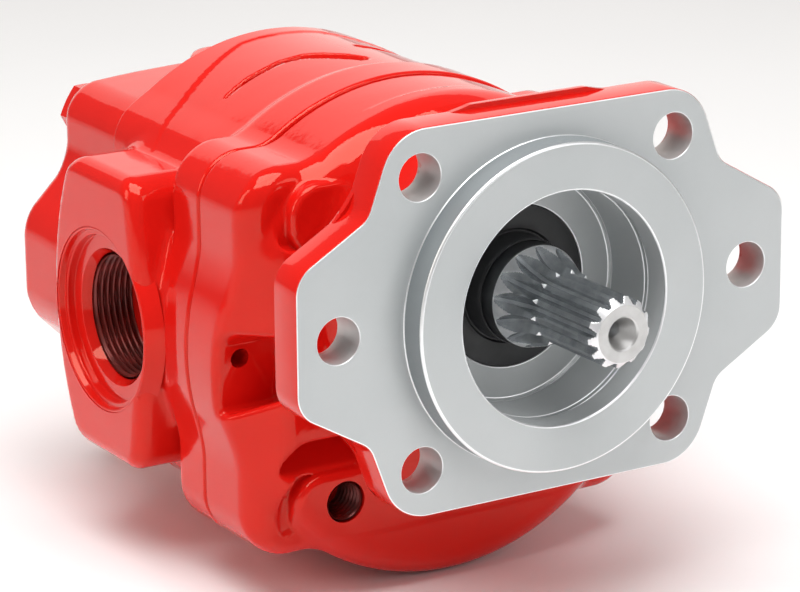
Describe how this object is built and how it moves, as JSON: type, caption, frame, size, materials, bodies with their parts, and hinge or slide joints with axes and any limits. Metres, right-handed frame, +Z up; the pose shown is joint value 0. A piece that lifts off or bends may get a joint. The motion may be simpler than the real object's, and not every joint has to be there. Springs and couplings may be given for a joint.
{
  "type": "hydraulic gear pump",
  "caption": "External gear pump in three red castings, with a grey six-hole mounting flange, a splined shaft and a threaded port on each side.",
  "frame": {"origin": "centre of the flange's mounting face, on the axis of the drive shaft", "axes": "-Y out of the mounting face along the shaft, +Y towards the rear cover, +Z up with the driven gear below, +X to the right as seen from the shaft end"},
  "size_m": [0.174, 0.2585, 0.1631],
  "materials": {
    "body_paint": "thick gloss enamel on cast iron, light grey on the machined flange face",
    "housing_paint": "thick gloss enamel on cast iron",
    "rear_paint": "thick gloss enamel on cast iron",
    "shaft_steel": "ground and hobbed alloy steel",
    "gear_steel": "ground alloy steel",
    "bushing_bronze": "turned bronze",
    "plate_bronze": "ground bronze",
    "inner_rubber": "moulded rubber",
    "seal_rubber": "moulded rubber, satin",
    "insert_steel": "pressed steel",
    "bolt_paint": "gloss enamel over plated steel",
    "dowel_steel": "ground steel"
  },
  "bodies": {
    "pump_body": {"front_cover": "body_paint", "gear_housing": "housing_paint", "rear_cover": "rear_paint", "front_drive_bushing": "bushing_bronze", "front_driven_bushing": "bushing_bronze", "rear_drive_bushing": "bushing_bronze", "rear_driven_bushing": "bushing_bronze", "front_thrust_plate": "plate_bronze", "rear_thrust_plate": "plate_bronze", "front_channel_seal": "inner_rubber", "rear_channel_seal": "inner_rubber", "front_joint_seal": "inner_rubber", "rear_joint_seal": "inner_rubber", "seal_body": "seal_rubber", "seal_insert": "insert_steel", "seal_spring": "insert_steel", "tie_bolts": "bolt_paint", "tie_bolt_washers": "bolt_paint", "front_dowels": "dowel_steel", "rear_dowels": "dowel_steel"},
    "drive_shaft": {"drive_gear_shaft": "shaft_steel"},
    "driven_gear": {"driven_gear_shaft": "gear_steel"}
  },
  "joints": [
    {"name": "drive_shaft_spin", "type": "hinge", "parent": "pump_body", "child": "drive_shaft", "pos_m": [0, 0, 0], "axis": [0, 1, 0], "continuous": true},
    {"name": "driven_gear_spin", "type": "hinge", "parent": "pump_body", "child": "driven_gear", "pos_m": [0, 0, -0.051], "axis": [0, 1, 0], "continuous": true}
  ],
  "couplings": [
    {"joint": "driven_gear_spin", "follows": "drive_shaft_spin", "ratio": -1}
  ]
}
